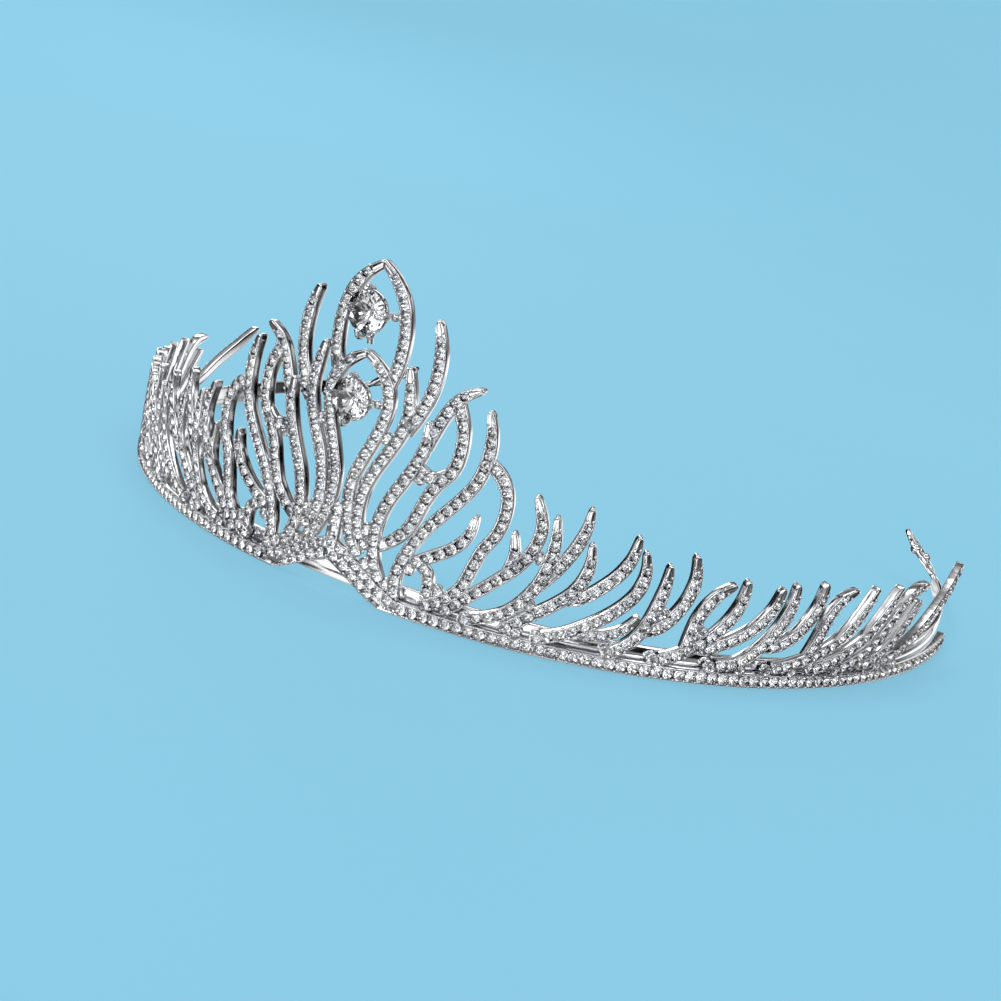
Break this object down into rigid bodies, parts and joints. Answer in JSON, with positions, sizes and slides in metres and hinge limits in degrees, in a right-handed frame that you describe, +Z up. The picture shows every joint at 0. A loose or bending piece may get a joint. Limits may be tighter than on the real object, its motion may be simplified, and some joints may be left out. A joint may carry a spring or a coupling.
{
  "type": "bridal tiara",
  "caption": "Open bridal tiara with an openwork frieze of curved stone-set blades, a pointed crest holding round stones, and a flat headband with end eyelets.",
  "frame": {"origin": "middle of the outer box in plan, on the plane that the underside of the base rail stands on", "axes": "+X across the tiara from wing to wing, +Y from the crest towards the open back, +Z up"},
  "size_m": [0.1664, 0.1324, 0.0548],
  "materials": {
    "stone_set_metal": "polished, set with small clear stones",
    "plated_metal": "polished",
    "crystal": "clear, faceted"
  },
  "bodies": {
    "root": {"center_arch": "stone_set_metal", "crest_stem": "stone_set_metal", "crest_loop": "stone_set_metal", "base_rail_right": "stone_set_metal", "plume_1_right": "stone_set_metal", "plume_2_right": "stone_set_metal", "plume_3_right": "stone_set_metal", "sprig_right": "stone_set_metal", "flame_1_right": "stone_set_metal", "flame_2_right": "stone_set_metal", "flame_3_right": "stone_set_metal", "flame_4_right": "stone_set_metal", "flame_5_right": "stone_set_metal", "flame_6_right": "stone_set_metal", "flame_7_right": "stone_set_metal", "flame_8_right": "stone_set_metal", "flame_9_right": "stone_set_metal", "flame_10_right": "stone_set_metal", "flame_11_right": "stone_set_metal", "flame_12_right": "stone_set_metal", "flame_13_right": "stone_set_metal", "base_rail_left": "stone_set_metal", "plume_1_left": "stone_set_metal", "plume_2_left": "stone_set_metal", "plume_3_left": "stone_set_metal", "sprig_left": "stone_set_metal", "flame_1_left": "stone_set_metal", "flame_2_left": "stone_set_metal", "flame_3_left": "stone_set_metal", "flame_4_left": "stone_set_metal", "flame_5_left": "stone_set_metal", "flame_6_left": "stone_set_metal", "flame_7_left": "stone_set_metal", "flame_8_left": "stone_set_metal", "flame_9_left": "stone_set_metal", "flame_10_left": "stone_set_metal", "flame_11_left": "stone_set_metal", "flame_12_left": "stone_set_metal", "flame_13_left": "stone_set_metal", "headband": "plated_metal", "upper_stone": "crystal", "upper_setting": "plated_metal", "lower_stone": "crystal", "lower_setting": "plated_metal", "eyelet_right": "plated_metal", "eyelet_left": "plated_metal"}
  },
  "joints": []
}
